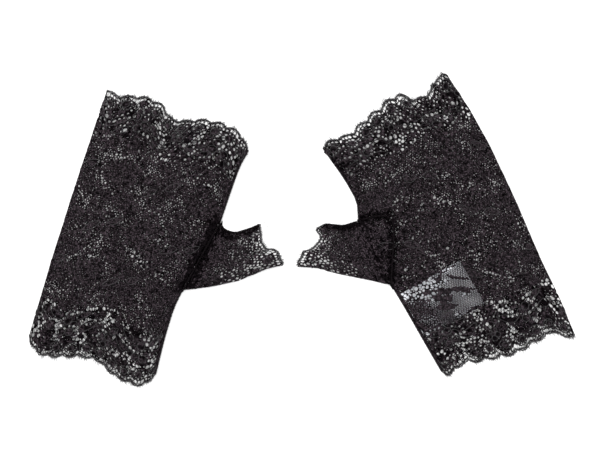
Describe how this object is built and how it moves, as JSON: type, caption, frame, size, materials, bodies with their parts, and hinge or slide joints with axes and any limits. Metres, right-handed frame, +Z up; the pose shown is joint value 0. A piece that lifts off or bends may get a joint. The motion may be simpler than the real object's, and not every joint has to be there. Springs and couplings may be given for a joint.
{
  "type": "pair of fingerless lace mitts",
  "caption": "Short fingerless mitts of stretch lace with scalloped edges, a hand tube and a sewn-in thumb tube each, laid flat side by side.",
  "frame": {"origin": "middle of the flat base of the pair", "axes": "+X from the left mitt to the right mitt, +Y towards the finger ends, +Z up, away from what the mitts lie on"},
  "size_m": [0.3284, 0.1836, 0.0086],
  "materials": {
    "hand_lace": "fine black stretch lace",
    "thumb_lace": "fine black stretch lace",
    "overlock_thread": "matte overlocked thread",
    "outline_cord": "satin outline thread",
    "loose_thread": "pale thread",
    "label": "sheer satin ribbon"
  },
  "bodies": {
    "left_mitt": {"left_hand_panel": "hand_lace", "left_upper_side_seam": "overlock_thread", "left_lower_side_seam": "overlock_thread", "left_thumb_hole_seam": "overlock_thread", "left_finger_edge_cord": "outline_cord", "left_wrist_edge_cord": "outline_cord"},
    "left_thumb": {"left_thumb_panel": "thumb_lace", "left_thumb_top_seam": "overlock_thread", "left_thumb_edge_cord": "outline_cord", "left_loose_thread": "loose_thread"},
    "right_mitt": {"right_hand_panel": "hand_lace", "right_upper_side_seam": "overlock_thread", "right_lower_side_seam": "overlock_thread", "right_thumb_hole_seam": "overlock_thread", "right_finger_edge_cord": "outline_cord", "right_wrist_edge_cord": "outline_cord"},
    "right_thumb": {"right_thumb_panel": "thumb_lace", "right_thumb_top_seam": "overlock_thread", "right_thumb_edge_cord": "outline_cord"},
    "right_label": {"right_care_label": "label"}
  },
  "joints": [
    {"name": "left_thumb_fold", "type": "hinge", "parent": "left_mitt", "child": "left_thumb", "pos_m": [-0.05996, -0.01584, 0.0073], "axis": [-0.4835, -0.8753, 0], "range_deg": [0, 165]},
    {"name": "mitts_apart", "type": "slide", "parent": "left_mitt", "child": "right_mitt", "axis": [1, 0, 0], "range_m": [0, 0.1]},
    {"name": "right_thumb_fold", "type": "hinge", "parent": "right_mitt", "child": "right_thumb", "pos_m": [0.04351, -0.0142, 0.0073], "axis": [-0.4554, 0.8903, 0], "range_deg": [0, 165]},
    {"name": "label_flap", "type": "hinge", "parent": "right_mitt", "child": "right_label", "pos_m": [0.06659, -0.05206, 0.0009], "axis": [0.4986, -0.8668, 0], "range_deg": [0, 5]}
  ]
}
